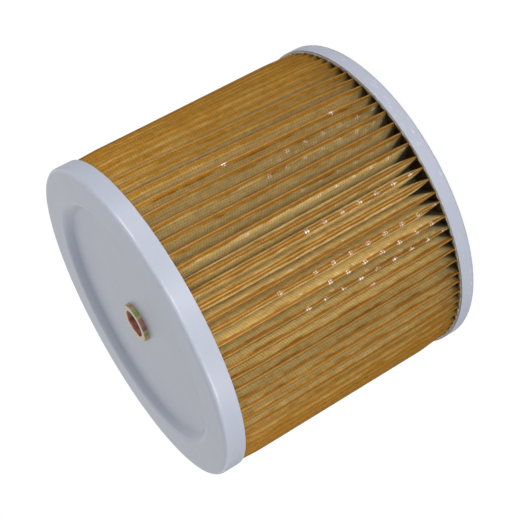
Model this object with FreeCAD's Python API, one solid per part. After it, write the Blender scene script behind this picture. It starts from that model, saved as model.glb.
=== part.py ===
"""Hydraulic suction strainer: a pleated wire-mesh pack on a perforated tube, between two pressed end caps.

The strainer stands on the seal of its open end, with the closed end and its bush on top.
The origin is at the centre of the seal's lower face, +Z runs along the axis, and sizes are in millimetres.
Oil enters through the pleats from outside, passes the tube's holes and leaves through the open end.
"""
import FreeCAD, Part
import math
import os

os.makedirs("parts", exist_ok=True)

# Overall sizes
cap_diameter = 150.0
body_length = 129.6
cap_sheet = 0.8
edge_bend = 1.8

# Closed end cap
closed_skirt = 9.3
dish_depth = 3.4
dish_wall_angle = 45.0
dish_shoulder_bend = 3.5
dish_corner_bend = 0.4
dish_inside_tube = 2.0

# Open end cap
open_skirt = 7.2
collar_bore_diameter = 111.6
collar_height = 7.0

# Seal of the open end
seal_thickness = 3.0
seal_width = 7.0
seal_setback = 1.0

# Bush in the closed end cap
bush_bore_diameter = 12.7
bush_head_diameter = 18.2
bush_head_height = 2.25
bush_neck_diameter = 15.8
bush_foot_diameter = 17.6
bush_foot_height = 1.6
bush_chamfer = 0.25
bush_hole_clearance = 0.1

# Perforated centre tube
tube_wall = 1.0
tube_over_collar = 0.4
tube_end_clearance = 0.3
hole_diameter = 12.0
hole_columns = 18
hole_rows = 6

# Pleated mesh pack, three layers folded together
pleat_count = 83
outer_mesh_thickness = 0.3
filter_mesh_thickness = 0.2
inner_mesh_thickness = 0.3
fold_radius = 0.6
fold_facets = 4
root_clearance = 0.5
tip_clearance = 0.2

# Clip that closes the side seam of the pack
clip_thickness = 0.4
clip_leg = 5.0

# Potting adhesive
potting_base = 1.0
potting_below_lip = 1.7
potting_below_dish = 0.2

# Radii worked out from the driving sizes
cap_radius = cap_diameter / 2
skirt_inner_radius = cap_radius - cap_sheet
collar_inner_radius = collar_bore_diameter / 2
collar_outer_radius = collar_inner_radius + cap_sheet
tube_inner_radius = collar_outer_radius + tube_over_collar
tube_outer_radius = tube_inner_radius + tube_wall
dish_floor_radius = tube_inner_radius - dish_inside_tube
dish_slope = math.tan(math.radians(dish_wall_angle))
dish_top_radius = dish_floor_radius + dish_depth / dish_slope
pack_thickness = outer_mesh_thickness + filter_mesh_thickness + inner_mesh_thickness
pack_half = pack_thickness / 2
root_radius = tube_outer_radius + root_clearance
tip_radius = skirt_inner_radius - clip_thickness - tip_clearance
root_centre_radius = root_radius + fold_radius + pack_half
tip_centre_radius = tip_radius - fold_radius - pack_half

# Heights worked out from the driving sizes
open_face_z = seal_thickness
closed_face_z = seal_thickness + body_length
floor_top_z = closed_face_z - dish_depth
floor_under_z = floor_top_z - cap_sheet


def rotated(point, degrees):
    """Turn a flat point about the axis."""
    angle = math.radians(degrees)
    x = point[0] * math.cos(angle) - point[1] * math.sin(angle)
    y = point[0] * math.sin(angle) + point[1] * math.cos(angle)
    return (x, y)


def unit(start, end):
    """Direction from one flat point to the next."""
    length = math.dist(start, end)
    return ((end[0] - start[0]) / length, (end[1] - start[1]) / length)


def offset_path(path, distance):
    """Parallel copy of an open path of (radius, height) points, to the left of its direction."""
    lines = []
    for start, end in zip(path, path[1:]):
        along = unit(start, end)
        shift = (-along[1] * distance, along[0] * distance)
        lines.append(((start[0] + shift[0], start[1] + shift[1]), (end[0] + shift[0], end[1] + shift[1])))
    points = [lines[0][0]]
    for (a, b), (c, d) in zip(lines, lines[1:]):
        ab = unit(a, b)
        cd = unit(c, d)
        turn = ab[0] * cd[1] - ab[1] * cd[0]
        reach = ((c[0] - a[0]) * cd[1] - (c[1] - a[1]) * cd[0]) / turn
        points.append((a[0] + ab[0] * reach, a[1] + ab[1] * reach))
    points.append(lines[-1][1])
    return points


def bend_side(path, index):
    """Plus one where the path turns left at a point, minus one where it turns right."""
    before = unit(path[index - 1], path[index])
    after = unit(path[index], path[index + 1])
    return 1.0 if before[0] * after[1] - before[1] * after[0] > 0 else -1.0


def rounded_edges(path, bends):
    """Edges of an open path in the XZ plane, with each inner corner rounded to its own radius."""
    edges = []
    last = path[0]
    for index, radius in enumerate(bends, start=1):
        corner = path[index]
        back = unit(corner, path[index - 1])
        ahead = unit(corner, path[index + 1])
        half_angle = math.acos(back[0] * ahead[0] + back[1] * ahead[1]) / 2
        reach = radius / math.tan(half_angle)
        start = (corner[0] + back[0] * reach, corner[1] + back[1] * reach)
        end = (corner[0] + ahead[0] * reach, corner[1] + ahead[1] * reach)
        middle = unit(corner, (start[0] + end[0] - corner[0], start[1] + end[1] - corner[1]))
        depth = radius / math.sin(half_angle) - radius
        crown = (corner[0] + middle[0] * depth, corner[1] + middle[1] * depth)
        edges.append(Part.makeLine(in_section(last), in_section(start)))
        edges.append(Part.Arc(in_section(start), in_section(crown), in_section(end)).toShape())
        last = end
    edges.append(Part.makeLine(in_section(last), in_section(path[-1])))
    return edges


def in_section(point):
    """Place a (radius, height) point in the XZ plane."""
    return FreeCAD.Vector(point[0], 0, point[1])


def turned(edges):
    """Solid of revolution about the axis from the edges of a closed section."""
    face = Part.Face(Part.Wire(Part.__sortEdges__(edges)))
    return face.revolve(FreeCAD.Vector(0, 0, 0), FreeCAD.Vector(0, 0, 1), 360)


def turned_outline(points):
    """Solid of revolution from a closed outline of straight lines."""
    corners = [in_section(point) for point in points]
    return turned(Part.makePolygon(corners + corners[:1]).Edges)


def inner_bends(path, bends):
    """Bend radii on the left side of a sheet whose right side has the given path and bends."""
    return [radius - bend_side(path, index) * cap_sheet for index, radius in enumerate(bends, start=1)]


def pressed_sheet(path, bends):
    """Sheet of even thickness: the path is its outer face, and the metal lies to the left of it."""
    inner_path = offset_path(path, cap_sheet)
    edges = rounded_edges(path, bends)
    edges += rounded_edges(inner_path, inner_bends(path, bends))
    edges.append(Part.makeLine(in_section(path[0]), in_section(inner_path[0])))
    edges.append(Part.makeLine(in_section(path[-1]), in_section(inner_path[-1])))
    return turned(edges)


def ring(inner, outer, low, high):
    """Plain ring between two radii and two heights."""
    return turned_outline([(inner, low), (outer, low), (outer, high), (inner, high)])


# End caps

bush_hole_radius = bush_neck_diameter / 2 + bush_hole_clearance
closed_path = [
    (cap_radius, closed_face_z - closed_skirt),
    (cap_radius, closed_face_z),
    (dish_top_radius, closed_face_z),
    (dish_floor_radius, floor_top_z),
    (bush_hole_radius, floor_top_z),
]
closed_bends = [edge_bend, dish_shoulder_bend, dish_corner_bend]

open_path = [
    (collar_inner_radius, open_face_z + collar_height),
    (collar_inner_radius, open_face_z),
    (cap_radius, open_face_z),
    (cap_radius, open_face_z + open_skirt),
]
open_bends = [edge_bend, edge_bend]


def closed_end_cap():
    """Pressed cap with a shallow dish, which holds the bush in its middle."""
    return pressed_sheet(closed_path, closed_bends)


def open_end_cap():
    """Pressed ring cap, with a collar that guides the tube and lets the oil out."""
    return pressed_sheet(open_path, open_bends)


def seal_ring():
    """Flat rubber ring, bonded to the open end cap just outside the bend of its collar."""
    inner = collar_inner_radius + edge_bend + seal_setback
    return ring(inner, inner + seal_width, 0.0, seal_thickness)


def centre_bush():
    """Turned steel bush, swaged into the dish: head above the sheet, foot rolled over below it."""
    bore = bush_bore_diameter / 2
    head = bush_head_diameter / 2
    neck = bush_neck_diameter / 2
    foot = bush_foot_diameter / 2
    top = floor_top_z + bush_head_height
    bottom = floor_under_z - bush_foot_height
    return turned_outline([
        (bore, bottom),
        (foot - bush_chamfer, bottom),
        (foot, bottom + bush_chamfer),
        (foot, floor_under_z),
        (neck, floor_under_z),
        (neck, floor_top_z),
        (head, floor_top_z),
        (head, top - bush_chamfer),
        (head - bush_chamfer, top),
        (bore + bush_chamfer, top),
        (bore, top - bush_chamfer),
    ])


# Levels of the potting, the tube and the pack

under_path = offset_path(closed_path, cap_sheet)
dish_under_corner = under_path[2]


def dish_clear_z(radius):
    """Height below which a square end of this inner radius clears the dish wall."""
    clear_radius = radius - tube_end_clearance
    return dish_under_corner[1] - max(0.0, dish_under_corner[0] - clear_radius) * dish_slope


pack_bottom_z = open_face_z + cap_sheet + potting_base
pack_top_z = min(closed_face_z - cap_sheet - potting_base, dish_clear_z(root_radius))
tube_top_z = min(pack_top_z, dish_clear_z(tube_inner_radius))
open_potting_z = open_face_z + min(open_skirt, collar_height) - potting_below_lip
closed_potting_z = floor_under_z + potting_below_dish


def centre_tube():
    """Rolled steel tube with rows of holes, each row shifted by half a step."""
    tube = ring(tube_inner_radius, tube_outer_radius, pack_bottom_z, tube_top_z)
    row_step = (closed_potting_z - open_potting_z) / hole_rows
    column_step = 360.0 / hole_columns
    holes = []
    for row in range(hole_rows):
        height = open_potting_z + row_step * (row + 0.5)
        for column in range(hole_columns):
            angle = column_step * (column + 0.5 * (row % 2))
            outward = FreeCAD.Vector(*rotated((1.0, 0.0), angle), 0)
            start = outward * (tube_inner_radius - tube_wall) + FreeCAD.Vector(0, 0, height)
            holes.append(Part.makeCylinder(hole_diameter / 2, 3 * tube_wall, start, outward))
    return tube.cut(Part.makeCompound(holes)).Solids[0]


# Pleated pack

pleat_angle = 360.0 / pleat_count
seam_angle = 90.0
root_centre = (root_centre_radius, 0.0)
tip_centre = rotated((tip_centre_radius, 0.0), pleat_angle / 2)
centre_direction = math.degrees(math.atan2(tip_centre[1] - root_centre[1], tip_centre[0] - root_centre[0]))
flank_normal = centre_direction + math.degrees(math.acos(2 * fold_radius / math.dist(root_centre, tip_centre)))
tip_half_turn = 180.0 - flank_normal + pleat_angle / 2


def fold_points(centre_radius, centre_angle, radius, first, last):
    """Points along one fold: a faceted arc about a centre, with angles counted from the outward radius."""
    points = []
    for step in range(fold_facets + 1):
        angle = math.radians(first + (last - first) * step / fold_facets)
        local = (centre_radius + radius * math.cos(angle), radius * math.sin(angle))
        points.append(rotated(local, centre_angle))
    return points


def tip_fold(offset, centre_angle):
    """Outer fold of the surface that lies at this offset outward from the pack's middle."""
    return fold_points(tip_centre_radius, centre_angle, fold_radius + offset, -tip_half_turn, tip_half_turn)


def root_fold(offset, centre_angle):
    """Inner fold of the same surface, between two pleats."""
    return fold_points(root_centre_radius, centre_angle, fold_radius - offset, 360.0 - flank_normal, flank_normal)


def pleated_outline(offset):
    """Closed outline of one surface of the pack, seen along the axis."""
    points = []
    for pleat in range(pleat_count):
        tip_angle = seam_angle + pleat * pleat_angle
        points += tip_fold(offset, tip_angle)
        points += root_fold(offset, tip_angle + pleat_angle / 2)
    return points


def flat_wire(points, height):
    """Closed polygon of flat points at one height."""
    corners = [FreeCAD.Vector(x, y, height) for x, y in points]
    return Part.makePolygon(corners + corners[:1])


def pleated_layer(outer_offset, inner_offset):
    """One folded layer of the pack between two of its surfaces."""
    outer = flat_wire(pleated_outline(outer_offset), pack_bottom_z)
    inner = flat_wire(pleated_outline(inner_offset)[::-1], pack_bottom_z)
    return Part.Face([outer, inner]).extrude(FreeCAD.Vector(0, 0, pack_top_z - pack_bottom_z))


filter_outer_offset = pack_half - outer_mesh_thickness
filter_inner_offset = filter_outer_offset - filter_mesh_thickness


def outer_support_mesh():
    """Coarse wire mesh on the outside of the pack."""
    return pleated_layer(pack_half, filter_outer_offset)


def filter_mesh():
    """Fine brass wire cloth that does the straining."""
    return pleated_layer(filter_outer_offset, filter_inner_offset)


def inner_support_mesh():
    """Coarse wire mesh on the inside of the pack."""
    return pleated_layer(filter_inner_offset, -pack_half)


def leg_end(fold_end, fold_next, normal_angle):
    """End of the clip's leg, square to the flank's normal and away from the fold."""
    along = rotated((0.0, 1.0), normal_angle)
    toward_fold = (fold_next[0] - fold_end[0]) * along[0] + (fold_next[1] - fold_end[1]) * along[1]
    reach = -clip_leg if toward_fold > 0 else clip_leg
    return (fold_end[0] + along[0] * reach, fold_end[1] + along[1] * reach)


def side_seam_clip():
    """Folded strip over one pleat, which holds the two ends of the pack together."""
    sections = []
    for offset in (pack_half, pack_half + clip_thickness):
        fold = tip_fold(offset, seam_angle)
        first_leg = leg_end(fold[0], fold[1], seam_angle - tip_half_turn)
        last_leg = leg_end(fold[-1], fold[-2], seam_angle + tip_half_turn)
        sections.append([first_leg] + fold + [last_leg])
    outline = sections[1] + sections[0][::-1]
    face = Part.Face(flat_wire(outline, pack_bottom_z))
    return face.extrude(FreeCAD.Vector(0, 0, pack_top_z - pack_bottom_z))


def with_pockets(potting):
    """Potting with a pocket for each piece that stands in it: the pack as one block, its clip and the tube."""
    pack = pleated_layer(pack_half, -pack_half)
    tube = ring(tube_inner_radius, tube_outer_radius, pack_bottom_z, tube_top_z)
    return potting.cut(Part.makeCompound([pack, side_seam_clip(), tube])).Solids[0]


def closed_end_adhesive():
    """Potting in the channel between the closed cap's skirt and the wall of its dish."""
    wall_reach = (dish_under_corner[1] - closed_potting_z) / dish_slope
    path = [
        (skirt_inner_radius, closed_potting_z),
        under_path[1],
        dish_under_corner,
        (dish_under_corner[0] - wall_reach, closed_potting_z),
    ]
    bends = inner_bends(closed_path, closed_bends)[:2]
    edges = rounded_edges(path, bends)
    edges.append(Part.makeLine(in_section(path[0]), in_section(path[-1])))
    return with_pockets(turned(edges))


def open_end_adhesive():
    """Potting in the channel between the open cap's collar and skirt."""
    channel = offset_path(open_path, cap_sheet)
    path = [
        (collar_outer_radius, open_potting_z),
        channel[1],
        channel[2],
        (skirt_inner_radius, open_potting_z),
    ]
    edges = rounded_edges(path, inner_bends(open_path, open_bends))
    edges.append(Part.makeLine(in_section(path[0]), in_section(path[-1])))
    return with_pockets(turned(edges))


# Every piece is written to a file of its own

pieces = [
    closed_end_cap,
    open_end_cap,
    seal_ring,
    centre_bush,
    centre_tube,
    outer_support_mesh,
    filter_mesh,
    inner_support_mesh,
    side_seam_clip,
    closed_end_adhesive,
    open_end_adhesive,
]

for piece in pieces:
    shape = piece()
    shape.exportStep("parts/" + piece.__name__ + ".step")
    print(piece.__name__, "solids", len(shape.Solids), "volume", round(shape.Volume, 1))
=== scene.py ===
# %% [markdown]
# # A pleated hydraulic strainer
# The CAD model of the strainer is the fixed frame of this scene: two pressed caps, a turned bush, a perforated
# tube, three folded meshes, a seam clip, potting and a seal. Blender keeps their places. It gives every piece the
# finish of its real material, and it folds the meshes anew with the small irregularities that a real pack has.

# %% Load the frame
import bpy
import math
import numpy as np
from mathutils import Matrix, Vector


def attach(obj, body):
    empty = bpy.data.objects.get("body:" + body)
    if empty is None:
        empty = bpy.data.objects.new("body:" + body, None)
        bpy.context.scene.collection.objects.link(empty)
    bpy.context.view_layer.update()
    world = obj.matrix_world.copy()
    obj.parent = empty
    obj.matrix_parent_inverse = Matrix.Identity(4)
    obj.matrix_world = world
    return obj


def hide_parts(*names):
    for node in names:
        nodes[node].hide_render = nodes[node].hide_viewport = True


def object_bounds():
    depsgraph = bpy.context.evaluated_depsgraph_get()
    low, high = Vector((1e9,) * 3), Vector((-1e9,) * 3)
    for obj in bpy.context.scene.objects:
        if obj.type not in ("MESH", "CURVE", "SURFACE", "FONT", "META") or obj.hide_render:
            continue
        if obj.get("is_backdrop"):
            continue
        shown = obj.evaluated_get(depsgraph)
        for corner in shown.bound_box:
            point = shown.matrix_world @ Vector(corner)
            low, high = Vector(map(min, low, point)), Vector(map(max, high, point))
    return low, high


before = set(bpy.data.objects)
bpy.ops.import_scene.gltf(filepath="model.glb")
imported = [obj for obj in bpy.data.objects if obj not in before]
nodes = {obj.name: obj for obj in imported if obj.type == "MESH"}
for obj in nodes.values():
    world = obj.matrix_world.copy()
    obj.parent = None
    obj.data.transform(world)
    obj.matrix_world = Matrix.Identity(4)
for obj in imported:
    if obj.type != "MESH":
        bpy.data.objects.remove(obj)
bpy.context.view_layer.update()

# %% [markdown]
# ## Helpers
# Colours are written as sRGB hex values, as a colour picker shows them, but Cycles counts in linear light, so one
# function turns them. A second one adds a shader node together with its settings and links, which keeps each
# material readable from top to bottom. The third starts an empty material, and the fourth gives a carried-over CAD
# node its finish. The last one turns the distance between two lines into the scale that Wave Texture wants: at a
# scale of 1 that node draws 20 / 2 pi lines to the metre.

# %% Helpers
MM = 0.001


def linear(hex_colour):
    """Linear RGBA of an sRGB hex colour."""
    parts = [int(hex_colour[k:k + 2], 16) / 255 for k in (1, 3, 5)]
    return [p / 12.92 if p <= 0.04045 else ((p + 0.055) / 1.055) ** 2.4 for p in parts] + [1.0]


def add(tree, kind, links=None, **settings):
    """Add a node, set its properties, and fill its inputs with values or with other nodes' outputs."""
    made = tree.nodes.new(kind)
    for name, value in settings.items():
        setattr(made, name, value)
    for name, value in (links or {}).items():
        if isinstance(value, bpy.types.Node):
            value = value.outputs[0]
        if isinstance(value, bpy.types.NodeSocket):
            tree.links.new(value, made.inputs[name])
        else:
            made.inputs[name].default_value = value
    return made


def new_material(name):
    """An empty material: its node tree and its output node."""
    made = bpy.data.materials.new(name)
    made.use_nodes = True
    made.node_tree.nodes.clear()
    return made, made.node_tree, made.node_tree.nodes.new("ShaderNodeOutputMaterial")


def finish_node(node, material):
    """Give a node of the CAD frame its only material."""
    nodes[node].data.materials.clear()
    nodes[node].data.materials.append(material)


def lines_apart(pitch):
    """Scale of a Wave Texture whose lines are a pitch apart, in mm."""
    return 2 * math.pi / 20 / (pitch * MM)


print("grey of #808080 in linear light:", round(linear("#808080")[0], 3))

# %% [markdown]
# ## Grey-white enamel of the end caps
# The caps are deep-drawn from 0.8 mm sheet steel, sprayed with a grey-white enamel and baked. A flat grey would do
# for a drawing, but baked enamel is known by three things: the shallow orange-peel of the spray, a satin gloss that
# mirrors its surroundings softly at low angles, and a few specks and scuffs from handling. Each is one noise or
# cell pattern here, with its scale taken from the real size of that flaw. The scuffs are kept to the lowest
# 12 mm, the skirt of the open end cap, because that is the end that is set down and slid about.

# %% Enamel material
enamel, tree, output = new_material("grey_white_baked_enamel")
place = add(tree, "ShaderNodeTexCoord").outputs["Object"]

# The coat is a little uneven: broad clouds of about 25 mm, hardly seen, as spray passes leave them.
clouds = add(tree, "ShaderNodeTexNoise", {"Vector": place, "Scale": 1 / (25 * MM), "Detail": 3.0})
coat = add(tree, "ShaderNodeMix", {
    "Factor": clouds, "A": linear("#acb2c2"), "B": linear("#b4bac9")}, data_type="RGBA")

# Specks of dirt and chips of about 0.5 mm: the heart of one cell in seventeen, where a cell is 5 mm wide.
cells = add(tree, "ShaderNodeTexVoronoi", {"Vector": place, "Scale": 1 / (5 * MM)})
heart = add(tree, "ShaderNodeMath", {0: cells.outputs["Distance"], 1: 0.055}, operation="LESS_THAN")
rare = add(tree, "ShaderNodeSeparateColor", {"Color": cells.outputs["Color"]})
picked = add(tree, "ShaderNodeMath", {0: rare, 1: 0.06}, operation="LESS_THAN")
speck = add(tree, "ShaderNodeMath", {0: heart, 1: picked}, operation="MULTIPLY")
speckled = add(tree, "ShaderNodeMix", {
    "Factor": speck, "A": coat.outputs[2], "B": linear("#6f6b68")}, data_type="RGBA")

# Scuffs on the foot: short pale strokes, 3 mm along the skirt and 0.5 mm high, in a few patches of 30 mm.
STROKE_LONG, STROKE_HIGH = 3 * MM, 0.5 * MM
stretched = add(tree, "ShaderNodeVectorMath", {
    0: place, 1: (1 / STROKE_LONG, 1 / STROKE_LONG, 1 / STROKE_HIGH)}, operation="MULTIPLY")
strokes = add(tree, "ShaderNodeTexNoise", {"Vector": stretched, "Scale": 1.0, "Detail": 1.0})
crate = add(tree, "ShaderNodeTexNoise", {"Vector": place, "Scale": 1 / (30 * MM), "Detail": 1.0})
rubbed = add(tree, "ShaderNodeMath", {0: crate, 1: 0.25, 2: strokes}, operation="MULTIPLY_ADD")
stroke = add(tree, "ShaderNodeMapRange", {"Value": rubbed, "From Min": 0.80, "From Max": 0.86, "To Max": 0.6})
height = add(tree, "ShaderNodeSeparateXYZ", {"Vector": place})
on_foot = add(tree, "ShaderNodeMath", {0: height.outputs["Z"], 1: 12 * MM}, operation="LESS_THAN")
scuff = add(tree, "ShaderNodeMath", {0: stroke, 1: on_foot}, operation="MULTIPLY")
scuffed = add(tree, "ShaderNodeMix", {
    "Factor": scuff, "A": speckled.outputs[2], "B": linear("#e2e4ea")}, data_type="RGBA")

# Gloss wanders with handling, and the orange-peel is a 1.6 mm ripple of a few microns.
handling = add(tree, "ShaderNodeTexNoise", {"Vector": place, "Scale": 1 / (9 * MM), "Detail": 4.0})
gloss = add(tree, "ShaderNodeMapRange", {"Value": handling, "To Min": 0.33, "To Max": 0.43})
peel = add(tree, "ShaderNodeTexNoise", {"Vector": place, "Scale": 1 / (1.6 * MM), "Detail": 2.0})
ripple = add(tree, "ShaderNodeBump", {"Height": peel, "Strength": 0.35, "Distance": 0.02 * MM})
surface = add(tree, "ShaderNodeBsdfPrincipled", {
    "Base Color": scuffed.outputs[2], "Roughness": gloss.outputs[0], "IOR": 1.5, "Normal": ripple,
    "Coat Weight": 0.3, "Coat Roughness": 0.26})
tree.links.new(surface.outputs[0], output.inputs["Surface"])

for cap in ("closed_end_cap", "open_end_cap"):
    finish_node(cap, enamel)
print("enamel on both caps,", len(tree.nodes), "nodes")

# %% [markdown]
# ## Yellow zinc on the bush
# The bush is turned from bar and zinc-plated, then dipped in a yellow chromate. The film is a fraction of a micron
# thick and uneven, so it shows straw, pink, green and maroon next to each other, like oil on water. A thin-film
# shader would need the true thickness everywhere. Instead one slow noise stands for the thickness and a colour ramp
# for the order of the interference colours. The noise is drawn out along the axis, because the bath drains off the
# wall in bands. The bore runs from maroon to a pale pink, whose streaks are a painted highlight, and the end face is
# thin and straw-grey. Fine rings around the axis are the marks of the turning tool.

# %% Yellow zinc material
zinc, tree, output = new_material("yellow_chromated_zinc_turned")
place = add(tree, "ShaderNodeTexCoord").outputs["Object"]
drained = add(tree, "ShaderNodeVectorMath", {0: place, 1: (1, 1, 0.15)}, operation="MULTIPLY")
film = add(tree, "ShaderNodeTexNoise", {"Vector": drained, "Scale": 1 / (7 * MM), "Detail": 1.0, "Distortion": 0.3})
colours = add(tree, "ShaderNodeValToRGB", {"Fac": film})
ramp = colours.color_ramp
ramp.elements[0].position, ramp.elements[0].color = 0.30, linear("#8a5a50")
ramp.elements[1].position, ramp.elements[1].color = 0.72, linear("#a2604c")
FILM_COLOURS = ((0.40, "#c08a7c"), (0.47, "#d8c79a"), (0.53, "#9fae6a"), (0.60, "#7d9a58"), (0.66, "#c9ae72"))
for position, colour in FILM_COLOURS:
    ramp.elements.new(position).color = linear(colour)

# Turning marks 0.25 mm apart: rings where the face is flat, and the same rings seen from the side on the wall.
rings = add(tree, "ShaderNodeTexWave", {
    "Vector": place, "Scale": lines_apart(0.25), "Distortion": 0.4}, wave_type="RINGS", rings_direction="Z")
marks = add(tree, "ShaderNodeBump", {"Height": rings, "Strength": 0.25, "Distance": 0.01 * MM})

# The bore is told by its radius, the end face by a normal that points along the axis.
across = add(tree, "ShaderNodeVectorMath", {0: place, 1: (1, 1, 0)}, operation="MULTIPLY")
radius = add(tree, "ShaderNodeVectorMath", {0: across}, operation="LENGTH")
BORE_LIMIT = 6.6 * MM
bore = add(tree, "ShaderNodeMath", {0: radius.outputs["Value"], 1: BORE_LIMIT}, operation="LESS_THAN")
# In the bore the film runs from maroon to a pale pink; the pale pink streaks are a painted highlight.
bore_highlight_share = add(tree, "ShaderNodeMapRange", {"Value": film, "From Min": 0.36, "From Max": 0.48})
bore_film_and_highlight = add(tree, "ShaderNodeMix", {"Factor": bore_highlight_share, "A": linear("#c8786c"), "B": linear("#ffc4b4")}, data_type="RGBA")
bored = add(tree, "ShaderNodeMix", {"Factor": bore, "A": colours, "B": bore_film_and_highlight.outputs[2]}, data_type="RGBA")
normal = add(tree, "ShaderNodeNewGeometry").outputs["Normal"]
upward = add(tree, "ShaderNodeSeparateXYZ", {"Vector": normal})
face = add(tree, "ShaderNodeMapRange", {
    "Value": upward.outputs["Z"], "From Min": 0.5, "From Max": 0.9, "To Max": 0.8})
film_colour = add(tree, "ShaderNodeMix", {
    "Factor": face, "A": bored.outputs[2], "B": linear("#968e76")}, data_type="RGBA")
surface = add(tree, "ShaderNodeBsdfPrincipled", {
    "Base Color": film_colour.outputs[2], "Metallic": 0.45, "Roughness": 0.22, "Normal": marks})
tree.links.new(surface.outputs[0], output.inputs["Surface"])
finish_node("centre_bush", zinc)
print("film ramp has", len(ramp.elements), "colours")

# %% [markdown]
# ## The shape of a real pleat
# The CAD pack repeats one faceted pleat 83 times. In a real pack no two are alike. Each is a thin blade with a sharp
# crease, and the valleys between blades are narrow at the top and open out inside. The blades lean, wander, and
# pinch together where the potting of the open end holds them. Cloth simulation could do this, but springy wire mesh
# keeps its folds, so a described section is truer and quicker. Half a pleat, from its ridge to the bottom of the
# valley, is a list of depths and half-widths in mm, for three states: free in the middle, pinched at the open end,
# and straight under the side seam clip.

# %% Half a pleat in section
# Angles are in degrees, lengths in mm. LAYER is the distance from one layer's middle to the next, LIP and FAR_LIP
# are the heights at which the pack comes out of its two caps.
PLEATS = 83
SEAM_ANGLE = 90.0
LAYER = 0.4
RIDGE_RADIUS = 74.0
VALLEY_RADIUS = 58.9
SEAM_RIDGE_RADIUS = 73.58
LIP, FAR_LIP = 10.3, 123.3
PACK_LOW, PACK_HIGH = 4.8, 130.8

# Depth below the ridge and half-width, for the middle of the three layers.
FREE = np.array([
    (0, 0), (0.03, 0.10), (0.12, 0.22), (0.32, 0.38), (0.70, 0.62),
    (1.50, 0.98), (3.00, 1.38), (5.50, 1.72), (9.00, 1.88)])
PINCHED = np.array([
    (0, 0), (0.02, 0.06), (0.08, 0.12), (0.20, 0.17), (0.50, 0.21),
    (1.30, 0.27), (3.00, 0.38), (5.50, 0.58), (9.00, 0.95)])
SEAMED = np.array([
    (0, 0), (0.05, 0.24), (0.19, 0.43), (0.36, 0.54), (0.70, 0.61),
    (1.50, 0.67), (3.00, 0.75), (5.50, 0.90), (9.00, 1.15)])

# The bottom of the valley is a round fold of this radius, with a point at each of these turns.
VALLEY_FOLD = 0.58
VALLEY_TURNS = np.radians([0.0, 50.0, 90.0])
HALF_POINTS = len(FREE) + len(VALLEY_TURNS)

# The three layers are pressed together where they are folded, most at the crease.
CREASED = np.zeros(HALF_POINTS)
CREASED[:5] = 1.0, 0.95, 0.8, 0.5, 0.2
print("a free pleat is", round(2 * (FREE[:, 1].max() + LAYER), 2), "mm wide at its widest")

# %% [markdown]
# ## Irregularity from a seeded generator
# Each pleat gets its own numbers: a shift in the potting, a larger one half way up, a slow wander and a change of
# height. The same seed gives the same pack on every run. The pleats beside the side seam stay straight, because
# the clip holds them. Part of the pack is twisted by up to six degrees, as the pack was when the closed cap was set.

# %% Numbers of each pleat
random = np.random.default_rng(83)
PITCH = 360.0 / PLEATS
LARGEST_TWIST = 6.0
number = np.arange(PLEATS)

# Held fast at the seam, free from the fifth pleat on.
from_seam = np.minimum(number, PLEATS - number)
loose = np.clip((from_seam - 0.5) / 4, 0, 1)

# Shifts, wander and lean are in degrees, the length of the wander and the rise of the ridge in mm.
shift_low = random.normal(0, 0.035, PLEATS) * PITCH * loose
shift_middle = random.normal(0, 0.05, PLEATS) * PITCH * loose
wander_size = random.uniform(0.004, 0.014, PLEATS) * PITCH * loose
wander_phase = random.uniform(0, 2 * math.pi, PLEATS)
wander_length = random.uniform(55, 95, PLEATS)
rise = random.uniform(0.35, 0.80, PLEATS)
lean = (0.9 + random.normal(0, 0.35, PLEATS)) * loose
tone = random.uniform(0, 1, PLEATS)


def ease(value, start, end):
    """Smooth step from 0 at start to 1 at end."""
    share = np.clip((value - start) / (end - start), 0, 1)
    return share * share * (3 - 2 * share)


def twist(angle):
    """Degrees by which the closed end is turned, by the place round the pack."""
    return LARGEST_TWIST * ease(angle, -90, -45) * ease(angle, 75, 15)


print("largest shift of a ridge:", round(float(np.abs(shift_middle).max()), 2), "degrees")

# %% [markdown]
# ## One slice of the pack
# At a given height the section becomes a closed line of points. Each half pleat fills a share of the room between
# its own ridge and the middle of the valley, so pleats that stand close get narrower and never cross. The line is
# then moved outward or inward by one layer, which gives the outer and the inner mesh.

# %% Slice and its distances along the mesh
PINCH_HEIGHT = 15.0


def section_points(upper, depth, reach):
    """Depths and shares of the half pitch, from the ridge to the bottom of the valley."""
    depths = np.concatenate([upper[:, 0], depth - VALLEY_FOLD + VALLEY_FOLD * np.sin(VALLEY_TURNS)])
    half_pitch = (reach - depths) * math.radians(PITCH) / 2
    valley = half_pitch[len(upper):] - VALLEY_FOLD * np.cos(VALLEY_TURNS)
    return depths, np.concatenate([upper[:, 1], valley]) / half_pitch


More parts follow.
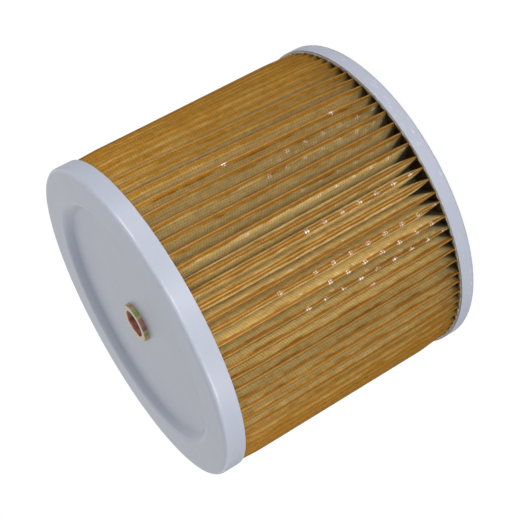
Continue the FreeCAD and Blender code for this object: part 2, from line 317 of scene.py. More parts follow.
def slice_points(height, offset):
    """Closed line of the pack at one height, moved outward by the offset."""

    # Ridges rise and wander between the two lips, and the blades are pinched just above the lip of the open end.
    free = ease(height, LIP + 1, LIP + 14) * ease(height, FAR_LIP + 1, FAR_LIP - 12)
    pinch = (1 - np.clip((height - LIP) / PINCH_HEIGHT, 0, 1)) ** 2.3
    up = (height - PACK_LOW) / (PACK_HIGH - PACK_LOW)

    # Angles of the ridges and valleys, at their tips and at their roots. The first and the last pleat are neighbours.
    base = SEAM_ANGLE + number * PITCH
    swing = twist((base + 180) % 360 - 180) * up * loose
    wander = wander_size * np.sin(2 * math.pi * height / wander_length + wander_phase) * free
    tips = base + shift_low + shift_middle * math.sin(math.pi * up) + wander + lean + swing
    roots = base + 0.5 * shift_low + 0.3 * shift_middle * math.sin(math.pi * up) + 0.6 * swing
    last = np.where(number == PLEATS - 1, 360, 0)
    valley_tips = (tips + np.roll(tips, -1) + last) / 2
    valley_roots = (roots + np.roll(roots, -1) + last) / 2
    first = np.where(number == 0, 360, 0)
    line = []
    for k in range(PLEATS):
        hold = loose[k]

        # Section of this pleat, how far its layers are pressed together, and the radius of its ridge.
        upper = hold * (FREE * (1 - pinch) + PINCHED * pinch) + (1 - hold) * SEAMED
        squeeze = (1 - 0.5 * pinch * hold) * (1 - 0.45 * CREASED * hold)
        ridge = hold * (RIDGE_RADIUS - 0.05 + rise[k] * free) + (1 - hold) * SEAM_RIDGE_RADIUS
        reach = ridge - LAYER * squeeze[0]
        depths, shares = section_points(upper, reach - VALLEY_RADIUS, reach)
        down = depths / depths[-1]
        ridge_line = tips[k] + (roots[k] - tips[k]) * down

        # Down one flank backwards and up the other, so that the points of all pleats follow each other.
        for side in (-1, 1):
            valley_tip = (valley_tips[k - 1] - first[k]) if side < 0 else valley_tips[k]
            valley_root = (valley_roots[k - 1] - first[k]) if side < 0 else valley_roots[k]
            valley_line = valley_tip + (valley_root - valley_tip) * down
            angle = np.radians(ridge_line + (valley_line - ridge_line) * shares)
            radius = reach - depths
            points = np.column_stack([radius * np.cos(angle), radius * np.sin(angle), squeeze])
            line.append(points[:0:-1] if side < 0 else points[:-1])
    line = np.concatenate(line)

    # The normal of each point is at a right angle to the line between its two neighbours.
    along = np.roll(line[:, :2], -1, axis=0) - np.roll(line[:, :2], 1, axis=0)
    outward = np.column_stack([along[:, 1], -along[:, 0]]) / np.linalg.norm(along, axis=1)[:, None]
    return line[:, :2] + outward * (offset * line[:, 2])[:, None]


depths, shares = section_points(FREE, RIDGE_RADIUS - LAYER - VALLEY_RADIUS, RIDGE_RADIUS - LAYER)
widths = shares * (RIDGE_RADIUS - LAYER - depths) * math.radians(PITCH) / 2
steps = np.hypot(np.diff(depths), np.diff(widths))
half_lengths = np.concatenate([[0], np.cumsum(steps)])
pleat_length = 2 * half_lengths[-1]
print("developed length of the pack:", round(pleat_length * PLEATS), "mm, points a pleat:", 2 * HALF_POINTS - 2)

# %% [markdown]
# ## Three meshes from the slices
# The outer support mesh, the fine filter mesh and the inner support mesh are folded together, so all three come
# from the same slices, only moved apart. The rows are close where the blades open out above the potting and wide
# elsewhere. A UV map keeps the distance along the mesh and the height, both in metres, so the weave can be drawn
# at its true size. One attribute keeps the distance from the ridge in mm, which places the painted highlight and
# shade on each fold, and another keeps the tone of each pleat.

# %% Build the pleated meshes
ROWS = np.concatenate([
    [PACK_LOW, 8.0], np.linspace(9.3, 24.7, 15), np.linspace(28, 117.0, 23), [120.0, 123.5, PACK_HIGH]])


def pleated_mesh(name, node, offset):
    """One folded layer as a mesh of quads, which takes the place of its CAD node."""
    slices = [slice_points(height, offset) for height in ROWS]
    count = len(slices[0])
    points = np.concatenate([
        np.column_stack([flat, np.full(count, height)]) for flat, height in zip(slices, ROWS)])
    faces = []
    for row in range(len(ROWS) - 1):
        low, high = row * count, (row + 1) * count
        for column in range(count):
            right = (column + 1) % count
            faces.append((low + column, low + right, high + right, high + column))
    mesh = bpy.data.meshes.new(name)
    mesh.from_pydata((points * MM).tolist(), [], faces)

    # Distances along the cloth: from the nearest ridge, and from the start of the whole pack.
    from_ridge = np.concatenate([half_lengths[:0:-1], half_lengths[:-1]])
    along = np.concatenate([half_lengths[-1] - half_lengths[:0:-1], half_lengths[-1] + half_lengths[:-1]])
    run = np.concatenate([k * pleat_length + along for k in range(PLEATS)])
    weave = mesh.uv_layers.new(name="weave")
    corners = np.zeros(len(mesh.loops), dtype=np.int32)
    mesh.loops.foreach_get("vertex_index", corners)
    column, row = corners % count, corners // count

    # The last face of each row ends where the pack begins, so those corners get the full length.
    first = np.arange(len(corners)) // 4 * 4
    wraps = (column == 0) & (column[first] == count - 1)
    u = np.where(wraps, PLEATS * pleat_length, run[column])
    weave.uv.foreach_set("vector", (np.column_stack([u, ROWS[row]]) * MM).astype(np.float32).ravel())
    for attribute, one_row in (("from_ridge", np.tile(from_ridge, PLEATS)),
                               ("pleat_tone", np.repeat(tone, len(from_ridge)))):
        kept = mesh.attributes.new(attribute, "FLOAT", "POINT")
        kept.data.foreach_set("value", np.tile(one_row, len(ROWS)).astype(np.float32))
    mesh.shade_smooth()
    made = bpy.data.objects.new(name, mesh)
    bpy.context.scene.collection.objects.link(made)
    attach(made, "root")
    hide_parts(node)
    print(name, len(mesh.polygons) * 2, "triangles")
    return made


outer_mesh = pleated_mesh("outer_wire_mesh", "outer_support_mesh", LAYER)
filter_cloth = pleated_mesh("filter_cloth", "filter_mesh", 0.0)
inner_mesh = pleated_mesh("inner_wire_mesh", "inner_support_mesh", -LAYER)

# %% [markdown]
# ## Brass wire cloth
# Seen close, the pack is a coarse mesh of 0.3 mm brass wire, 1.3 mm from wire to wire, lying on a fine brass cloth
# whose threads no picture of this size can show. Its 190,000 crossings would be too heavy as a mesh, so the weave
# is a pattern in the mesh's own UV map: two sets of wires that pass over and under each other, pale where a wire
# is on top and browner in the openings. The colour by the distance from the ridge is partly the brass's own tone
# and partly painted light: a thin pale painted highlight on the crease, an amber band with a streaky edge beside it
# that is partly painted shade under the fold, and khaki further down that turns paler, painted light on the flank.
# The two sides of the pack, left and right of the front, are painted browner as painted shade.

# %% Weave of the support mesh
WIRE_PITCH = 1.3
RAMP_REACH = 10.0


def brass_weave(name, ridge_colours_and_light):
    """Brass mesh material: weave, colour by the distance from the ridge, and a small bump of the wires."""
    made, tree, output = new_material(name)
    weave = add(tree, "ShaderNodeUVMap", uv_map="weave")
    wire_scale = lines_apart(WIRE_PITCH)
    upright = add(tree, "ShaderNodeTexWave", {"Vector": weave, "Scale": wire_scale}, bands_direction="X")
    level = add(tree, "ShaderNodeTexWave", {"Vector": weave, "Scale": wire_scale}, bands_direction="Y")
    over = add(tree, "ShaderNodeTexChecker", {
        "Vector": weave, "Scale": 1 / (WIRE_PITCH * MM), "Color1": (1, 1, 1, 1), "Color2": (0, 0, 0, 1)})
    lift = add(tree, "ShaderNodeMapRange", {"Value": over, "To Min": 0.7, "To Max": 1.0})
    drop = add(tree, "ShaderNodeMapRange", {"Value": over, "To Min": 1.0, "To Max": 0.7})
    warp = add(tree, "ShaderNodeMath", {0: upright.outputs["Fac"], 1: lift}, operation="MULTIPLY")
    weft = add(tree, "ShaderNodeMath", {0: level.outputs["Fac"], 1: drop}, operation="MULTIPLY")
    wires = add(tree, "ShaderNodeMath", {0: warp, 1: weft}, operation="MAXIMUM")

    # The colour follows the distance from the ridge. Streaks 2.5 mm wide and 14 mm long fray its edge by up to
    # 2.2 mm either way, but not the crease itself.
    place = add(tree, "ShaderNodeTexCoord").outputs["Object"]
    ridge = add(tree, "ShaderNodeAttribute", attribute_name="from_ridge")
    drawn = add(tree, "ShaderNodeVectorMath", {
        0: weave, 1: (1 / (2.5 * MM), 1 / (14 * MM), 1)}, operation="MULTIPLY")
    ragged = add(tree, "ShaderNodeTexNoise", {"Vector": drawn, "Scale": 1.0, "Detail": 4.0, "Roughness": 0.6})
    fray = add(tree, "ShaderNodeMapRange", {"Value": ragged, "To Min": -2.2, "To Max": 2.2})
    below = add(tree, "ShaderNodeMapRange", {"Value": ridge.outputs["Fac"], "From Min": 0.2, "From Max": 1.4})
    edge = add(tree, "ShaderNodeMath", {0: fray, 1: below, 2: ridge.outputs["Fac"]}, operation="MULTIPLY_ADD")
    share = add(tree, "ShaderNodeMapRange", {"Value": edge, "From Max": RAMP_REACH})
    # The ramp holds painted light: a pale painted highlight at the crease, painted shade beside it, paler flanks below.
    colours = add(tree, "ShaderNodeValToRGB", {"Fac": share})
    ramp = colours.color_ramp
    for element, (distance, colour) in zip(ramp.elements, (ridge_colours_and_light[0], ridge_colours_and_light[-1])):
        element.position, element.color = distance / RAMP_REACH, linear(colour)
    for distance, colour in ridge_colours_and_light[1:-1]:
        ramp.elements.new(distance / RAMP_REACH).color = linear(colour)

    # The two sides, left and right of the front, are browner: painted shade where the pack turns away, except on the
    # crease.
    split = add(tree, "ShaderNodeSeparateXYZ", {"Vector": place})
    shifted = add(tree, "ShaderNodeMath", {0: split.outputs["X"], 1: 10 * MM}, operation="ADD")
    sideways = add(tree, "ShaderNodeMath", {0: shifted}, operation="ABSOLUTE")
    side = add(tree, "ShaderNodeMapRange", {
        "Value": sideways, "From Min": 18 * MM, "From Max": 66 * MM, "To Max": 0.8})
    off_ridge = add(tree, "ShaderNodeMapRange", {
        "Value": ridge.outputs["Fac"], "From Min": 0.1, "From Max": 0.5, "To Min": 0.1})
    painted_side_shade = add(tree, "ShaderNodeMath", {0: side, 1: off_ridge}, operation="MULTIPLY")
    side_shaded = add(tree, "ShaderNodeMix", {
        "Factor": painted_side_shade, "A": colours, "B": linear("#8e6416")}, data_type="RGBA").outputs[2]

    # Openings between the wires are darker, and every pleat and every patch of cloth has its own tone.
    deep = add(tree, "ShaderNodeMix", {"Factor": 0.33, "A": side_shaded, "B": linear("#58380e")}, data_type="RGBA")
    on_wire = add(tree, "ShaderNodeMapRange", {"Value": wires, "From Min": 0.15, "From Max": 0.75})
    cloth = add(tree, "ShaderNodeMix", {"Factor": on_wire, "A": deep.outputs[2], "B": side_shaded}, data_type="RGBA")
    pleat = add(tree, "ShaderNodeAttribute", attribute_name="pleat_tone")
    patch = add(tree, "ShaderNodeTexNoise", {"Vector": place, "Scale": 1 / (2.2 * MM), "Detail": 3.0})
    mottle = add(tree, "ShaderNodeMapRange", {"Value": patch, "To Min": 0.72, "To Max": 1.42})
    own = add(tree, "ShaderNodeMapRange", {"Value": pleat.outputs["Fac"], "To Min": 0.86, "To Max": 1.14})
    both = add(tree, "ShaderNodeMath", {0: mottle, 1: own}, operation="MULTIPLY")

    # In the valleys above the open end the cloth is darker, the higher the deeper the valley: partly painted shade of
    # the narrow valleys, partly adhesive wicked up between the wires.
    dark_boundary = add(tree, "ShaderNodeMath", {
        0: ridge.outputs["Fac"], 1: -0.45 * MM, 2: split.outputs["Z"]}, operation="MULTIPLY_ADD")
    valley_shade_and_soak = add(tree, "ShaderNodeMapRange", {
        "Value": dark_boundary, "From Min": 8.8 * MM, "From Max": 12.0 * MM, "To Min": 0.18, "To Max": 1.0})
    shade = add(tree, "ShaderNodeMath", {0: both, 1: valley_shade_and_soak}, operation="MULTIPLY")
    toned = add(tree, "ShaderNodeMix", {
        "Factor": 1.0, "A": cloth.outputs[2], "B": shade}, data_type="RGBA", blend_type="MULTIPLY")

    # Oiled woven wire scatters light like a dull cloth, so it counts as less than half a metal.
    bump = add(tree, "ShaderNodeBump", {"Height": wires, "Strength": 0.6, "Distance": 0.12 * MM})
    surface = add(tree, "ShaderNodeBsdfPrincipled", {
        "Base Color": toned.outputs[2], "Metallic": 0.4, "Roughness": 0.5, "Normal": bump,
        "Specular IOR Level": 0.2, "Specular Tint": (1.0, 0.80, 0.50, 1.0)})
    tree.links.new(surface.outputs[0], output.inputs["Surface"])
    return made, tree, surface, toned, place


# Colours by the distance from the ridge, in mm along the cloth: the paler crease is a painted highlight, the amber
# band next to it partly painted shade, and the pale deep flank painted light.
BRASS_AND_PAINTED_LIGHT_BY_RIDGE = ((0.0, "#a68448"), (0.10, "#9c763a"), (0.25, "#885f28"), (0.8, "#94621e"), (1.6, "#ccb576"),
                  (3.4, "#e6d59e"), (8.0, "#f8eabf"))
outer_brass, tree, surface, toned, place = brass_weave("woven_brass_support_wire", BRASS_AND_PAINTED_LIGHT_BY_RIDGE)
print("weave of", WIRE_PITCH, "mm,", len(tree.nodes), "nodes so far")

# %% [markdown]
# ## Pinholes of light
# The tube inside has 3 mm holes, 5 mm apart, in staggered columns. Where the cloth over a hole is thin, light comes
# through its openings as a cluster of tiny pale dots. Real holes in three layers would need millions of faces, so
# the clusters are painted light: pale dots painted into the outer mesh's colour, in the cloth's own coordinates,
# where they stay put on every flank: a staggered lattice, as far apart along each column as the tube's holes are,
# a random choice of them, and dots about a millimetre apart within each. There is one patch of them, at the front.
# It is strongest near the open end and fades away past the middle.

# %% Pinholes in the outer mesh
HOLE_ROW_PITCH = 8.66
COLUMNS_A_PLEAT = 13
SPOT_WIDE, SPOT_HIGH = 2.2, 2.8
PATCH_DIRECTION = math.radians(-88)
column_width = pleat_length / COLUMNS_A_PLEAT
on_cloth = add(tree, "ShaderNodeUVMap", uv_map="weave")
split = add(tree, "ShaderNodeSeparateXYZ", {"Vector": on_cloth})
columns = add(tree, "ShaderNodeMath", {0: split.outputs["X"], 1: 1 / (column_width * MM)}, operation="MULTIPLY")
column = add(tree, "ShaderNodeMath", {0: columns}, operation="FLOOR")
odd = add(tree, "ShaderNodeMath", {0: column, 1: 2.0}, operation="FLOORED_MODULO")
stagger = add(tree, "ShaderNodeMath", {0: odd, 1: 0.5}, operation="MULTIPLY")
rows = add(tree, "ShaderNodeMath", {
    0: split.outputs["Y"], 1: 1 / (HOLE_ROW_PITCH * MM), 2: stagger}, operation="MULTIPLY_ADD")
row = add(tree, "ShaderNodeMath", {0: rows}, operation="FLOOR")

# Distance from the middle of the nearest hole, as a share of the spot's half width and half height.
aside = add(tree, "ShaderNodeMath", {0: columns, 1: column}, operation="SUBTRACT")
above = add(tree, "ShaderNodeMath", {0: rows, 1: row}, operation="SUBTRACT")
offset = add(tree, "ShaderNodeCombineXYZ", {"X": aside, "Y": above})
centred = add(tree, "ShaderNodeVectorMath", {0: offset, 1: (0.5, 0.5, 0)}, operation="SUBTRACT")
spot_scale = (2 * column_width / SPOT_WIDE, 2 * HOLE_ROW_PITCH / SPOT_HIGH, 0)
scaled = add(tree, "ShaderNodeVectorMath", {0: centred, 1: spot_scale}, operation="MULTIPLY")
distance = add(tree, "ShaderNodeVectorMath", {0: scaled}, operation="LENGTH")
spot = add(tree, "ShaderNodeMapRange", {"Value": distance.outputs["Value"], "From Min": 1.0, "From Max": 0.7})

# Dots within the spot, 0.9 mm apart along the cloth and 1.1 mm apart up it. The real openings are finer than the
# render can show, so they are drawn this coarse.
dots_along = add(tree, "ShaderNodeTexWave", {"Vector": on_cloth, "Scale": lines_apart(0.9)}, bands_direction="X")
dots_up = add(tree, "ShaderNodeTexWave", {"Vector": on_cloth, "Scale": lines_apart(1.1)}, bands_direction="Y")
dots = add(tree, "ShaderNodeMath", {0: dots_along.outputs["Fac"], 1: dots_up.outputs["Fac"]}, operation="MULTIPLY")
dot = add(tree, "ShaderNodeMapRange", {"Value": dots, "From Min": 0.06, "From Max": 0.24})

# Oil fills some of the openings, so no two clusters keep the same dots.
oil = add(tree, "ShaderNodeTexNoise", {"Vector": on_cloth, "Scale": 1 / (1.3 * MM), "Detail": 1.0})
clear = add(tree, "ShaderNodeMapRange", {"Value": oil, "From Min": 0.40, "From Max": 0.52, "To Min": 0.05})
open_dot = add(tree, "ShaderNodeMath", {0: dot, 1: clear}, operation="MULTIPLY")

# Which holes show: seven columns in ten, and in them a random number for each hole against a limit that falls with
# the height. The limit drops to nothing outside the patch, which ends 25 to 30 degrees to either side of its middle.
cell = add(tree, "ShaderNodeCombineXYZ", {"X": column, "Y": row})
chance = add(tree, "ShaderNodeTexWhiteNoise", {"Vector": cell}, noise_dimensions="2D")
whole = add(tree, "ShaderNodeTexWhiteNoise", {"W": column}, noise_dimensions="1D")
in_column = add(tree, "ShaderNodeMath", {0: whole.outputs["Value"], 1: 0.7}, operation="LESS_THAN")
near_open = add(tree, "ShaderNodeMapRange", {
    "Value": split.outputs["Y"], "From Min": 46 * MM, "From Max": 96 * MM, "To Min": 1.0, "To Max": 0.0})
spread = add(tree, "ShaderNodeSeparateXYZ", {"Vector": place})
angle = add(tree, "ShaderNodeMath", {0: spread.outputs["Y"], 1: spread.outputs["X"]}, operation="ARCTAN2")
from_middle = add(tree, "ShaderNodeMath", {0: angle, 1: PATCH_DIRECTION}, operation="SUBTRACT")
wave = add(tree, "ShaderNodeMath", {0: from_middle}, operation="COSINE")
patch = add(tree, "ShaderNodeMapRange", {"Value": wave, "From Min": 0.87, "From Max": 0.91})
nearby = add(tree, "ShaderNodeMath", {0: near_open, 1: patch}, operation="MULTIPLY")
limit = add(tree, "ShaderNodeMath", {0: nearby, 1: in_column}, operation="MULTIPLY")
shows = add(tree, "ShaderNodeMath", {0: chance.outputs["Value"], 1: limit}, operation="LESS_THAN")

# Deep in the valleys the neighbouring pleat shades the cloth, so the dots go out there.
valley = add(tree, "ShaderNodeAttribute", attribute_name="from_ridge")
reach = add(tree, "ShaderNodeMapRange", {
    "Value": valley.outputs["Fac"], "From Min": 7.0, "From Max": 3.5, "To Max": 0.85})
outer = add(tree, "ShaderNodeMath", {0: spot, 1: reach}, operation="MULTIPLY")
lit = add(tree, "ShaderNodeMath", {0: outer, 1: open_dot}, operation="MULTIPLY")
bright = add(tree, "ShaderNodeMath", {0: lit, 1: shows}, operation="MULTIPLY")
# The pinholes are painted light: pale dots mixed into the cloth's base colour.
painted_pinhole_light = add(tree, "ShaderNodeMix", {
    "Factor": bright, "A": toned.outputs[2], "B": linear("#fff8f2")}, data_type="RGBA")
tree.links.new(painted_pinhole_light.outputs[2], surface.inputs["Base Color"])
outer_mesh.data.materials.append(outer_brass)
print("columns", round(column_width, 2), "mm apart, rows", HOLE_ROW_PITCH, "mm apart")

# %% [markdown]
# ## The two hidden layers
# The fine cloth and the inner support mesh show only through the holes of the tube, from the open end. They are
# the same brass, never touched by light or hands, so they stay more even and a little redder.

# %% Inner brass materials
INNER_BRASS = ((0.0, "#b48a3c"), (3.0, "#b0904c"), (8.0, "#a88c50"))
cloth_brass = brass_weave("fine_brass_filter_cloth", INNER_BRASS)[0]
inner_brass = brass_weave("woven_brass_inner_wire", INNER_BRASS)[0]
filter_cloth.data.materials.append(cloth_brass)
inner_mesh.data.materials.append(inner_brass)
print("brass on three layers:", outer_brass.name, cloth_brass.name, inner_brass.name)

# %% [markdown]
# ## The perforated tube
# The CAD tube has 108 large holes, which stand for about two thousand small ones. Here the tube is the common sheet:
# 3 mm holes, 5 mm apart in a triangular pattern. A boolean cut with so many cylinders would be slow and untidy.
# The sheet is laid out as bricks instead, each with a twelve-sided hole and six faces around it. Each row is shifted
# by half a brick, the bricks share their corners, and a Solidify modifier gives the wall.

# %% Tube from bricks with holes
TUBE_OUTER, TUBE_WALL = 58.0, 1.0
TUBE_LOW, TUBE_HIGH = 4.8, 129.76
HOLES_ROUND = 73
HOLE_RADIUS = 1.5
HOLE_SIDES = 12
PLAIN_ENDS = 6.0
brick_width = 360.0 / HOLES_ROUND
brick_height = HOLE_ROW_PITCH / 2
brick_rows = int((TUBE_HIGH - TUBE_LOW - PLAIN_ENDS) / brick_height)
margin = (TUBE_HIGH - TUBE_LOW - brick_rows * brick_height) / 2
corner_points = {}
tube_points = []


def on_tube(angle, height):
    """Add a point of the tube's outer face, and return its number."""
    tube_points.append((TUBE_OUTER * math.cos(angle), TUBE_OUTER * math.sin(angle), height))
    return len(tube_points) - 1


def tube_corner(half, level):
    """Number of a shared corner, by its place in half bricks round the tube and in rows up it."""
    key = (half % (2 * HOLES_ROUND), level)
    if key not in corner_points:
        height = TUBE_LOW + margin + level * brick_height
        if level in (-1, brick_rows + 1):
            height = TUBE_LOW if level == -1 else TUBE_HIGH
        corner_points[key] = on_tube(math.radians(key[0] * brick_width / 2), height)
    return corner_points[key]


tube_faces = []
for level in range(brick_rows):
    for brick in range(HOLES_ROUND):
        left = 2 * brick + level % 2
        rim = [tube_corner(left + aside, level + above)
               for aside, above in ((1, 1), (0, 1), (0, 0), (1, 0), (2, 0), (2, 1))]
        centre_angle = math.radians((left + 1) * brick_width / 2)
        centre_height = TUBE_LOW + margin + (level + 0.5) * brick_height
        hole = []
        for step in range(HOLE_SIDES):
            turn = math.radians(90 + 360 / HOLE_SIDES * step)
            angle = centre_angle + HOLE_RADIUS * math.cos(turn) / TUBE_OUTER
            hole.append(on_tube(angle, centre_height + HOLE_RADIUS * math.sin(turn)))
        for side in range(6):
            edge = [hole[(2 * side + 2) % HOLE_SIDES], hole[2 * side + 1], hole[2 * side]]
            tube_faces.append([rim[side], rim[(side + 1) % 6]] + edge)
for half in range(2 * HOLES_ROUND):
    for low in (-1, brick_rows):
        tube_faces.append([tube_corner(half, low), tube_corner(half + 1, low),
                           tube_corner(half + 1, low + 1), tube_corner(half, low + 1)])
tube_mesh = bpy.data.meshes.new("perforated_tube")
tube_mesh.from_pydata((np.array(tube_points) * MM).tolist(), [], tube_faces)
tube_mesh.validate()
tube = bpy.data.objects.new("perforated_tube", tube_mesh)
bpy.context.scene.collection.objects.link(tube)
bpy.context.view_layer.objects.active = tube
tube.select_set(True)
bpy.ops.object.mode_set(mode="EDIT")
bpy.ops.mesh.select_all(action="SELECT")
bpy.ops.mesh.normals_make_consistent(inside=False)
bpy.ops.object.mode_set(mode="OBJECT")
wall = tube.modifiers.new("wall", "SOLIDIFY")
wall.thickness = TUBE_WALL * MM
wall.offset = -1
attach(tube, "root")
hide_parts("centre_tube")
print(brick_rows * HOLES_ROUND, "holes in the tube")

# %% [markdown]
# ## Galvanised steel
# Tube and seam clip are cut from hot-dip galvanised sheet. The zinc sets in crystals, the spangle, so neighbouring
# patches of 3 to 8 mm differ a little in grey and gloss. Cell noise draws them, and a fine noise dulls the gloss.

# %% Galvanised material
galvanised, tree, output = new_material("hot_dip_galvanised_sheet")
place = add(tree, "ShaderNodeTexCoord").outputs["Object"]
spangle = add(tree, "ShaderNodeTexVoronoi", {"Vector": place, "Scale": 1 / (5 * MM)})
grey = add(tree, "ShaderNodeSeparateColor", {"Color": spangle.outputs["Color"]})
sheet = add(tree, "ShaderNodeMix", {"Factor": grey, "A": linear("#9ea2a8"), "B": linear("#bcc0c4")}, data_type="RGBA")
dull = add(tree, "ShaderNodeTexNoise", {"Vector": place, "Scale": 1 / (1.5 * MM), "Detail": 3.0})
gloss = add(tree, "ShaderNodeMapRange", {"Value": dull, "To Min": 0.30, "To Max": 0.48})
surface = add(tree, "ShaderNodeBsdfPrincipled", {"Base Color": sheet.outputs[2], "Metallic": 1.0, "Roughness": gloss})
tree.links.new(surface.outputs[0], output.inputs["Surface"])
tube.data.materials.append(galvanised)
finish_node("side_seam_clip", galvanised)
print("spangle of 5 mm on the tube and the clip")

# %% [markdown]
# ## Potting
# The caps are filled with a pale cast adhesive before the pack is pressed in. At the open end its surface is seen
# between the pleats: it climbs the skirt as a small bead, and lies lower and uneven inside. The CAD node has a
# pocket for each pleat, but these pleats stand a little differently, so a ring with the bead and with low waves,
# 3 to 23 mm long, takes its place, and the pleats simply dip into it.

# %% Potting of the open end
# Radius and height of the surface in mm, from the tube out to the skirt, and of the two corners under it.
SURFACE = ((56.7, 8.2), (60.0, 8.3), (66.0, 8.3), (70.0, 8.7), (71.6, 9.5), (72.7, 9.95), (73.5, 10.15), (74.15, 10.25))
UNDERSIDE = ((73.2, 4.6), (56.7, 4.6))
STEPS_ROUND = 720

# Each circle of the surface gets 24 waves of random size, 20 to 135 to the turn, which add up to about 0.12 mm.
WAVES = 24
WAVE_HEIGHT = 0.0245
FEWEST_WAVES, WAVE_STEP = 20, 5
random = np.random.default_rng(9)
waves = random.normal(0, 1, (len(SURFACE), WAVES, 2))
turns = np.arange(STEPS_ROUND) * 2 * math.pi / STEPS_ROUND
ring_points = []
for (radius, height), sizes in zip(SURFACE, waves):
    lift = sum(wave[0] * np.cos((FEWEST_WAVES + WAVE_STEP * k) * turns)
               + wave[1] * np.sin((FEWEST_WAVES + WAVE_STEP * k) * turns)
               for k, wave in enumerate(sizes)) * WAVE_HEIGHT
    at_skirt = radius == SURFACE[-1][0]
    for turn, up in zip(turns, lift):
        ring_points.append((radius * math.cos(turn), radius * math.sin(turn), height if at_skirt else height + up))
for radius, height in UNDERSIDE:
    for turn in turns:
        ring_points.append((radius * math.cos(turn), radius * math.sin(turn), height))
ring_faces = []
rings_in_all = len(SURFACE) + len(UNDERSIDE)
for band in range(rings_in_all):
    this, following = band * STEPS_ROUND, (band + 1) % rings_in_all * STEPS_ROUND
    for step in range(STEPS_ROUND):
        after = (step + 1) % STEPS_ROUND
        ring_faces.append((this + step, following + step, following + after, this + after))
potting_mesh = bpy.data.meshes.new("open_end_potting")
potting_mesh.from_pydata((np.array(ring_points) * MM).tolist(), [], ring_faces)
potting_mesh.shade_smooth()
potting = bpy.data.objects.new("open_end_potting", potting_mesh)
bpy.context.scene.collection.objects.link(potting)
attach(potting, "root")
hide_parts("open_end_adhesive")
print("potting ring of", len(ring_faces) * 2, "triangles")

# %% [markdown]
# The adhesive is an epoxy filled with chalk: dense, matt to satin, light grey-beige. Inward of about 70 mm radius,
# under the pleats, it is darker and browner, with a ragged edge.

# %% Potting material
epoxy, tree, output = new_material("chalk_filled_cast_epoxy")
place = add(tree, "ShaderNodeTexCoord").outputs["Object"]
flat = add(tree, "ShaderNodeVectorMath", {0: place, 1: (1, 1, 0)}, operation="MULTIPLY")
radius = add(tree, "ShaderNodeVectorMath", {0: flat}, operation="LENGTH")
smears = add(tree, "ShaderNodeTexNoise", {"Vector": place, "Scale": 1 / (14 * MM), "Detail": 2.0})
dark_boundary = add(tree, "ShaderNodeMath", {0: smears, 1: -4 * MM, 2: radius.outputs["Value"]}, operation="MULTIPLY_ADD")
# Inward of about 70 mm radius the adhesive is darker and browner.
darker_inward = add(tree, "ShaderNodeMapRange", {"Value": dark_boundary, "From Min": 69.6 * MM, "From Max": 70.8 * MM})
lumps = add(tree, "ShaderNodeTexNoise", {"Vector": place, "Scale": 1 / (2 * MM), "Detail": 3.0})
pale = add(tree, "ShaderNodeMix", {"Factor": lumps, "A": linear("#b3ab98"), "B": linear("#c4bda9")}, data_type="RGBA")
body = add(tree, "ShaderNodeMix", {"Factor": darker_inward, "A": linear("#62492a"), "B": pale.outputs[2]}, data_type="RGBA")
skin = add(tree, "ShaderNodeBump", {"Height": lumps, "Strength": 0.4, "Distance": 0.1 * MM})
surface = add(tree, "ShaderNodeBsdfPrincipled", {
    "Base Color": body.outputs[2], "Roughness": 0.5, "IOR": 1.5, "Normal": skin})
tree.links.new(surface.outputs[0], output.inputs["Surface"])
potting.data.materials.append(epoxy)
finish_node("closed_end_adhesive", epoxy)
print("potting on both ends")

# %% [markdown]
# ## Nitrile rubber of the seal
# The seal is a flat ring moulded in black nitrile rubber. Black rubber is never quite black: a mould leaves it
# satin, and bloom and dust give it faint grey clouds.

# %% Rubber material
rubber, tree, output = new_material("moulded_nitrile_rubber")
place = add(tree, "ShaderNodeTexCoord").outputs["Object"]
bloom = add(tree, "ShaderNodeTexNoise", {"Vector": place, "Scale": 1 / (8 * MM), "Detail": 5.0})
black = add(tree, "ShaderNodeMix", {"Factor": bloom, "A": linear("#1c1c1e"), "B": linear("#303032")}, data_type="RGBA")
grain = add(tree, "ShaderNodeTexNoise", {"Vector": place, "Scale": 1 / (0.5 * MM), "Detail": 2.0})
mould = add(tree, "ShaderNodeBump", {"Height": grain, "Strength": 0.3, "Distance": 0.02 * MM})
surface = add(tree, "ShaderNodeBsdfPrincipled", {
    "Base Color": black.outputs[2], "Roughness": 0.55, "IOR": 1.52, "Normal": mould})
tree.links.new(surface.outputs[0], output.inputs["Surface"])
finish_node("seal_ring", rubber)
print("rubber on the seal")

# %% [markdown]
# ## Floor and background
# The strainer stands on a plain pale floor in front of white. The floor is a real matt surface to light and gloss.
# Only what the camera sees of it is mostly a white of its own, so the floor melts into the backdrop and keeps a
# soft shadow, and no extra light falls on the object. It lies 0.05 mm low, so it doesn't flicker with the seal, and
# its back is clear, which lets a view from below look into the tube. The world is white to the camera, to gloss
# and to glass, and gives the object a plain soft light.

# %% Floor and world
floor_mesh = bpy.data.meshes.new("floor")
FLOOR_HALF, FLOOR_LEVEL = 6.0, -0.05 * MM
corners = [(x * FLOOR_HALF, y * FLOOR_HALF, FLOOR_LEVEL) for x, y in ((-1, -1), (1, -1), (1, 1), (-1, 1))]
floor_mesh.from_pydata(corners, [], [(0, 1, 2, 3)])
floor = bpy.data.objects.new("floor", floor_mesh)
bpy.context.scene.collection.objects.link(floor)
floor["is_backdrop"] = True
white_floor, tree, output = new_material("pale_studio_floor")
path = add(tree, "ShaderNodeLightPath")
keep = add(tree, "ShaderNodeMath", {0: path.outputs["Is Camera Ray"], 1: 0.86}, operation="MULTIPLY")
matt = add(tree, "ShaderNodeBsdfDiffuse", {"Color": linear("#ececec")})
white = add(tree, "ShaderNodeEmission", {"Color": (1, 1, 1, 1), "Strength": 1.12})
blend = add(tree, "ShaderNodeMixShader", {"Fac": keep, 1: matt, 2: white})
below = add(tree, "ShaderNodeNewGeometry").outputs["Backfacing"]
glass = add(tree, "ShaderNodeBsdfTransparent")
sheet = add(tree, "ShaderNodeMixShader", {"Fac": below, 1: blend, 2: glass})
tree.links.new(sheet.outputs[0], output.inputs["Surface"])
floor.data.materials.append(white_floor)

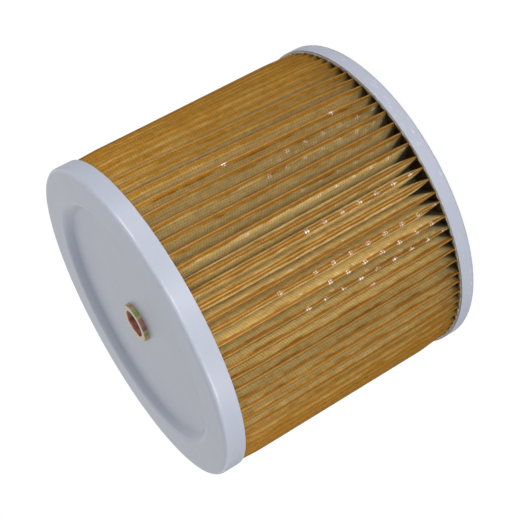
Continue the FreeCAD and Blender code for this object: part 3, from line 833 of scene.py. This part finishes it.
world = bpy.data.worlds.new("studio")
world.use_nodes = True
tree = world.node_tree
tree.nodes.clear()
path = add(tree, "ShaderNodeLightPath")
mirrored = add(tree, "ShaderNodeMath", {
    0: path.outputs["Is Camera Ray"], 1: path.outputs["Is Glossy Ray"]}, operation="MAXIMUM")
seen = add(tree, "ShaderNodeMath", {0: mirrored, 1: path.outputs["Is Transmission Ray"]}, operation="MAXIMUM")
ambient = add(tree, "ShaderNodeBackground", {"Color": (0.93, 0.96, 1.0, 1), "Strength": 0.38})
backdrop = add(tree, "ShaderNodeBackground", {"Color": (1, 1, 1, 1), "Strength": 1.0})
blend = add(tree, "ShaderNodeMixShader", {"Fac": seen, 1: ambient, 2: backdrop})
add(tree, "ShaderNodeOutputWorld", {"Surface": blend})
bpy.context.scene.world = world
print("floor and world are white to the camera")

# %% [markdown]
# ## Camera and lamps
# The camera was found by fitting a pinhole camera to the outlines of the two caps, so its place, turn and lens are
# given as measured. It is rolled, because the object lies on its side in the picture, while here it stands. Three
# small lamps stand low, in front and on both sides: they light the pleats and the skirts evenly round the front,
# and their low angle draws each fold. A wide weak one stands high behind the object and lights the closed face.

# %% Camera and lamps
camera_data = bpy.data.cameras.new("camera")
camera_data.sensor_width = 36.0
camera_data.lens = 90.298
camera_data.clip_start, camera_data.clip_end = 0.01, 20
camera = bpy.data.objects.new("camera", camera_data)
camera_right = Vector((-0.48621, -0.28621, -0.82564))
camera_up = Vector((0.87384, -0.15925, -0.45939))
camera_back = Vector((0.0, -0.94484, 0.32753))
camera_place = Vector((-2.417, -555.69, 259.05)) * MM
rotation = Matrix((camera_right, camera_up, camera_back)).transposed().to_4x4()
camera.matrix_world = Matrix.Translation(camera_place) @ rotation
bpy.context.scene.collection.objects.link(camera)
bpy.context.scene.camera = camera


def lamp(name, place, size, power, target, colour=(1.0, 0.97, 0.94)):
    """A flat lamp that faces its target: place, width and height in metres, power in watts."""
    data = bpy.data.lights.new(name, "AREA")
    data.shape = "RECTANGLE"
    data.size, data.size_y = size
    data.energy = power
    data.color = colour
    made = bpy.data.objects.new(name, data)
    made.location = place
    made.rotation_euler = (Vector(target) - Vector(place)).to_track_quat("-Z", "Y").to_euler()
    bpy.context.scene.collection.objects.link(made)


lamp("front_lamp", (0.00, -1.20, 0.10), (0.30, 0.20), 5.2, (0, 0, 0.10))
lamp("right_lamp", (0.98, -0.69, 0.12), (0.40, 0.20), 5.5, (0, 0, 0.08))
lamp("left_lamp", (-1.04, -0.60, 0.12), (0.40, 0.20), 5.8, (0, 0, 0.08))
lamp("back_lamp", (0.25, 0.85, 1.05), (0.9, 0.9), 1.78, (0, 0, 0.066), (0.98, 0.98, 1.0))
scene = bpy.context.scene
scene.view_settings.view_transform = "Standard"
print("camera at", [round(value, 3) for value in camera_place])

# %% [markdown]
# ## Sizes and the end
# The looks must not change the size of the object, so the box of everything shown is printed in mm.

# %% Keep the sizes and finish
low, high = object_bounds()
print("visual box in mm:", [round(value * 1000, 2) for value in (*low, *high)])
